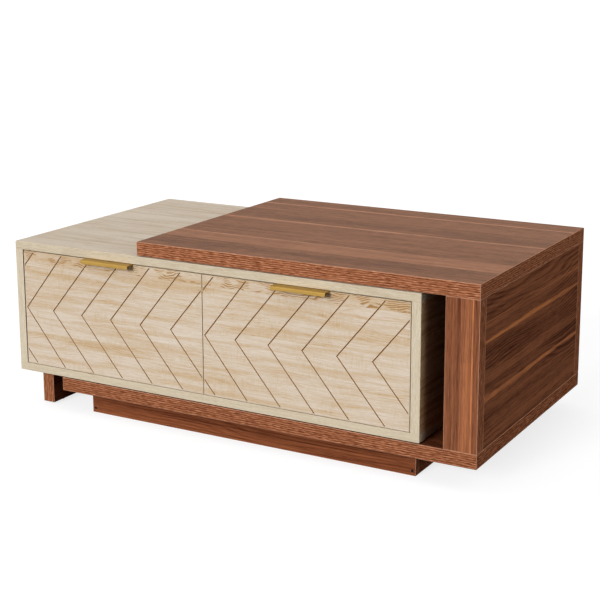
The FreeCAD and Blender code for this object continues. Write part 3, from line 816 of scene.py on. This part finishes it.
def loose_parts(node):
    """The corners of each separate solid of a CAD node."""
    shape = bmesh.new()
    shape.from_mesh(frame["nodes"][node].data)
    bmesh.ops.remove_doubles(shape, verts=shape.verts, dist=weld_reach)
    shape.verts.index_update()
    seen = set()
    parts = []
    for first in shape.verts:
        if first.index in seen:
            continue
        seen.add(first.index)
        reached = [first]
        corners = []
        while reached:
            corner = reached.pop()
            corners.append(corner.co.copy())
            for edge in corner.link_edges:
                other = edge.other_vert(corner)
                if other.index not in seen:
                    seen.add(other.index)
                    reached.append(other)
        parts.append(corners)
    shape.free()
    return parts


def screw_place(corners):
    """The middle of a screw's head, the way its head faces, its length and its head's radius."""
    low = Vector([min(corner[axis] for corner in corners) for axis in range(3)])
    high = Vector([max(corner[axis] for corner in corners) for axis in range(3)])
    size = high - low
    axis = max(range(3), key=lambda index: size[index])
    ends = []
    for level, way in ((low[axis], -1.0), (high[axis], 1.0)):
        middle = (low + high) / 2
        middle[axis] = level
        rim = [corner for corner in corners if abs(corner[axis] - level) < same_level]
        radius = max((corner - middle).length for corner in rim)
        facing = Vector((0.0, 0.0, 0.0))
        facing[axis] = way
        ends.append((radius, middle, facing))
    radius, middle, facing = max(ends, key=lambda end: end[0])
    return middle, facing, size[axis], radius


screw_inputs = (
    ("Places", "NodeSocketGeometry"),
    ("Length", number),
    ("Head radius", number),
    ("Head depth", number),
    ("Shank radius", number),
    ("Thread pitch", number),
    ("Thread depth", number),
    ("Drive width", number),
    ("Drive depth", number),
    ("Cross drive", "NodeSocketBool"),
    ("Finish", "NodeSocketMaterial"),
)
screw_round = 20
steps_per_turn = 2.0
hexagon_sides = 6

# Where a thread starts, in head depths below the head's top, and how thin a cross drive's blades are
thread_start_share = 1.5
blade_share = 0.3


def screw_tree():
    """A screw on each point, its head facing the way that the point's facing attribute says."""
    tree = bpy.data.node_groups.new("screws_on_places", "GeometryNodeTree")
    names = {}
    for label, kind in screw_inputs:
        names[label] = tree.interface.new_socket(label, in_out="INPUT", socket_type=kind).identifier
    tree.interface.new_socket("Screws", in_out="OUTPUT", socket_type="NodeSocketGeometry")
    graph = Graph(tree)
    given = graph.add("NodeGroupInput").outputs
    turns = graph.sum("CEIL", graph.sum("DIVIDE", given["Length"], given["Thread pitch"]))
    feeds = {"Vertices": screw_round, "Side Segments": graph.sum("MULTIPLY", turns, steps_per_turn)}
    feeds.update({"Fill Segments": 1, "Radius": 1.0, "Depth": given["Length"]})
    rod = graph.add("GeometryNodeMeshCylinder", feeds).outputs["Mesh"]
    x, y, z = graph.parts(graph.add("GeometryNodeInputPosition").outputs[0])
    down = graph.sum("SUBTRACT", graph.sum("MULTIPLY", given["Length"], 0.5), z)
    cone = graph.between(down, 0.0, given["Head depth"], given["Head radius"], given["Shank radius"])
    half_pitch = graph.sum("MULTIPLY", given["Thread pitch"], 0.5)
    crest = graph.sum("DIVIDE", graph.sum("PINGPONG", down, half_pitch), half_pitch)
    thread_start = graph.sum("MULTIPLY", given["Head depth"], thread_start_share)
    below = graph.sum("GREATER_THAN", down, thread_start)
    thread = graph.sum("MULTIPLY", graph.sum("MULTIPLY", crest, given["Thread depth"]), below)
    radius = graph.sum("SUBTRACT", cone, thread)
    wide_x, wide_y = graph.sum("MULTIPLY", x, radius), graph.sum("MULTIPLY", y, radius)
    moved = graph.joined(wide_x, wide_y, graph.sum("MULTIPLY", down, -1.0))
    screw = graph.add("GeometryNodeSetPosition", {"Geometry": rod, "Position": moved}).outputs[0]
    deep = graph.sum("MULTIPLY", given["Drive depth"], 2.0)
    hexagon = {"Vertices": hexagon_sides, "Radius": given["Drive width"], "Depth": deep}
    socket = graph.add("GeometryNodeMeshCylinder", hexagon).outputs["Mesh"]
    thin = graph.sum("MULTIPLY", given["Drive width"], blade_share)
    wide = graph.sum("MULTIPLY", given["Drive width"], 2.0)
    first = graph.add("GeometryNodeMeshCube", {"Size": graph.joined(wide, thin, deep)}).outputs["Mesh"]
    second = graph.add("GeometryNodeMeshCube", {"Size": graph.joined(thin, wide, deep)}).outputs["Mesh"]
    crossed = graph.add("GeometryNodeMeshBoolean", operation="UNION", solver="EXACT")
    for half in (first, second):
        tree.links.new(half, crossed.inputs["Mesh 2"])
    choice = graph.add("GeometryNodeSwitch", input_type="GEOMETRY")
    for name, value in (("Switch", given["Cross drive"]), ("False", socket), ("True", crossed.outputs[0])):
        graph.feed(choice.inputs[name], value)
    cut = graph.add("GeometryNodeMeshBoolean", {"Mesh 1": screw}, operation="DIFFERENCE", solver="EXACT")
    tree.links.new(choice.outputs[0], cut.inputs["Mesh 2"])
    facing = graph.add("GeometryNodeInputNamedAttribute", {"Name": "facing"}, data_type="FLOAT_VECTOR")
    turn = graph.add("FunctionNodeAlignRotationToVector", {"Vector": facing.outputs[0]}, axis="Z").outputs[0]
    feeds = {"Points": given["Places"], "Instance": cut.outputs[0], "Rotation": turn}
    placed = graph.add("GeometryNodeInstanceOnPoints", feeds).outputs[0]
    whole = graph.add("GeometryNodeRealizeInstances", {"Geometry": placed}).outputs[0]
    finished = graph.add("GeometryNodeSetMaterial", {"Geometry": whole, "Material": given["Finish"]})
    graph.add("NodeGroupOutput", {"Screws": finished.outputs[0]})
    return tree, names


screws_on_places, screw_names = screw_tree()

# A head lies a hair below the face that it is driven into, and is a little smaller than the plain one
head_sunk = 0.15 * mm
head_share = 0.92


def put_screws(node, body, finish, sizes):
    """Detailed screws in the places of a node of plain ones, as one plain mesh."""
    places = [screw_place(corners) for corners in loose_parts(node)]
    places.sort(key=lambda place: tuple(round(part / mm) for part in place[0]))
    mesh = bpy.data.meshes.new(node + "_places")
    mesh.from_pydata([middle - facing * head_sunk for middle, facing, _, _ in places], [], [])
    facings = mesh.attributes.new("facing", "FLOAT_VECTOR", "POINT")
    for index, place in enumerate(places):
        facings.data[index].vector = place[1]
    holder = bpy.data.objects.new(node + "_places", mesh)
    bpy.context.scene.collection.objects.link(holder)
    modifier = holder.modifiers.new("screws", "NODES")
    modifier.node_group = screws_on_places
    sizes = dict(sizes)
    sizes["Length"] = places[0][2] - 2 * head_sunk
    sizes["Head radius"] = places[0][3] * head_share
    sizes["Finish"] = finish
    for label, value in sizes.items():
        modifier[screw_names[label]] = value
    ready = holder.evaluated_get(bpy.context.evaluated_depsgraph_get())
    made = bpy.data.meshes.new_from_object(ready)
    bpy.data.objects.remove(holder)
    made.name = node + "_detailed"
    piece = bpy.data.objects.new(node + "_detailed", made)
    bpy.context.scene.collection.objects.link(piece)
    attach(piece, body)
    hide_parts(node)


long_screw = {
    "Head depth": 1.8 * mm,
    "Shank radius": 1.8 * mm,
    "Thread pitch": 2.4 * mm,
    "Thread depth": 0.5 * mm,
    "Drive width": 1.9 * mm,
    "Drive depth": 1.3 * mm,
    "Cross drive": False,
}
short_screw = {
    "Head depth": 1.7 * mm,
    "Shank radius": 1.4 * mm,
    "Thread pitch": 1.4 * mm,
    "Thread depth": 0.4 * mm,
    "Drive width": 1.5 * mm,
    "Drive depth": 0.9 * mm,
    "Cross drive": True,
}
put_screws("plinth_screws", "shell", black, long_screw)
put_screws("leg_screws", "cabinet", zinc, long_screw)
put_screws("cabinet_runner_screws", "cabinet", zinc, short_screw)
for drawer in ("left_drawer", "right_drawer"):
    put_screws(drawer + "_handle_screws", drawer, zinc, short_screw)
    put_screws(drawer + "_runner_screws", drawer, zinc, short_screw)

# Floor, light and camera

# The floor throws little light back at the table. Seen directly it glows, and the rest of its white is
# the share that a shadow can take away.
floor_size = 90.0
floor_bounce = 0.12
floor_shadow_share = 0.32
floor_glow = 0.76

# The room's light comes from all round, less or more of it from three sides. Each side fades in
# between two cosines of the angle from its middle.
ambient_light = 0.9
dim_side, dim_fade, dim_share = (0.5, -0.866, 0.0), (0.8, 0.92), 0.02
rear_side, rear_fade, rear_share = (0.574, 0.819, 0.0), (0.766, 0.866), 0.15
bright_side, bright_fade, bright_gain = (0.978, -0.208, 0.0), (0.9, 0.98), 1.15

# The one lamp is low in front, and large enough for soft shadows
key_direction = (-0.14, -0.93, 0.33)
key_strength = 2.68
key_softness = math.radians(22.0)


def seen_directly(graph):
    """1 for rays that come from the camera, or from it by way of metal or glass."""
    path = graph.add("ShaderNodeLightPath").outputs
    direct = graph.sum("MAXIMUM", path["Is Camera Ray"], path["Is Glossy Ray"])
    return graph.sum("MAXIMUM", direct, path["Is Transmission Ray"])


def lay_floor():
    mesh = bpy.data.meshes.new("floor")
    half = floor_size / 2
    corners = [(-half, -half, 0), (half, -half, 0), (half, half, 0), (-half, half, 0)]
    mesh.from_pydata(corners, [], [(0, 1, 2, 3)])
    floor = bpy.data.objects.new("floor", mesh)
    bpy.context.scene.collection.objects.link(floor)
    material = bpy.data.materials.new("pale_floor")
    material.use_nodes = True
    graph = Graph(material.node_tree)
    material.node_tree.nodes.clear()
    bouncing = graph.add("ShaderNodeBsdfDiffuse", {"Color": grey(floor_bounce)}).outputs[0]
    shaded = graph.add("ShaderNodeBsdfDiffuse", {"Color": grey(floor_shadow_share)}).outputs[0]
    glow = graph.add("ShaderNodeEmission", {"Color": grey(1.0), "Strength": floor_glow}).outputs[0]
    shown = graph.add("ShaderNodeAddShader", {0: shaded, 1: glow}).outputs[0]
    both = graph.add("ShaderNodeMixShader", {0: seen_directly(graph), 1: bouncing, 2: shown}).outputs[0]
    graph.add("ShaderNodeOutputMaterial", {"Surface": both})
    mesh.materials.append(material)


def light_world():
    """A white room, whose light on the table is least from the front right, weak from the rear right
    and most from the right.
    """
    world = bpy.data.worlds.new("studio")
    bpy.context.scene.world = world
    world.use_nodes = True
    graph = Graph(world.node_tree)
    background = world.node_tree.nodes["Background"]
    background.inputs["Color"].default_value = grey(1.0)
    direction = graph.add("ShaderNodeTexCoord").outputs["Generated"]
    level = graph.vector("NORMALIZE", graph.vector("MULTIPLY", direction, (1.0, 1.0, 0.0)))
    from_dim, from_rear, from_bright = (
        graph.vector("DOT_PRODUCT", level, side) for side in (dim_side, rear_side, bright_side)
    )
    ambient = graph.between(from_dim, *dim_fade, ambient_light, ambient_light * dim_share)
    ambient = graph.sum("MULTIPLY", ambient, graph.between(from_rear, *rear_fade, 1.0, rear_share))
    bright = graph.between(from_bright, *bright_fade)
    ambient = graph.sum("MULTIPLY_ADD", bright, ambient_light * bright_gain, ambient)
    strength = graph.between(seen_directly(graph), 0.0, 1.0, ambient, 1.0)
    graph.feed(background.inputs["Strength"], strength)


def soft_light(name, direction, strength, softness):
    lamp = bpy.data.lights.new(name, "SUN")
    lamp.energy = strength
    lamp.angle = softness
    light = bpy.data.objects.new(name, lamp)
    light.rotation_euler = Vector(direction).to_track_quat("Z", "Y").to_euler()
    bpy.context.scene.collection.objects.link(light)


# A camera at the photograph's viewing angle, worked out from the table's straight edges. Its picture is
# shifted only as much as the framing needs.
frame_width_px = 600
focal_px = 1371.4
sensor_width_mm = 36.0
camera_place = (1.4857, -2.5933, 1.0231)
camera_turn = math.radians(29.628)
camera_tilt = math.radians(12.023)
camera_roll = math.radians(0.188)
camera_shift = -0.1
camera_reach = 200.0


def place_camera():
    right = Vector((math.cos(camera_turn), math.sin(camera_turn), 0.0))
    level = Vector((-math.sin(camera_turn), math.cos(camera_turn), 0.0))
    up = Vector(along_z)
    forward = level * math.cos(camera_tilt) - up * math.sin(camera_tilt)
    upward = up * math.cos(camera_tilt) + level * math.sin(camera_tilt)
    rolled_right = right * math.cos(camera_roll) - upward * math.sin(camera_roll)
    rolled_up = right * math.sin(camera_roll) + upward * math.cos(camera_roll)
    turned = Matrix((rolled_right, rolled_up, -forward)).transposed().to_4x4()
    data = bpy.data.cameras.new("camera")
    data.sensor_width = sensor_width_mm
    data.lens = focal_px / frame_width_px * sensor_width_mm
    data.shift_y = camera_shift
    data.clip_end = camera_reach
    camera = bpy.data.objects.new("camera", data)
    camera.matrix_world = Matrix.Translation(Vector(camera_place)) @ turned
    bpy.context.scene.collection.objects.link(camera)
    bpy.context.scene.camera = camera


lay_floor()
light_world()
soft_light("key", key_direction, key_strength, key_softness)
place_camera()
bpy.context.scene.view_settings.view_transform = "Standard"
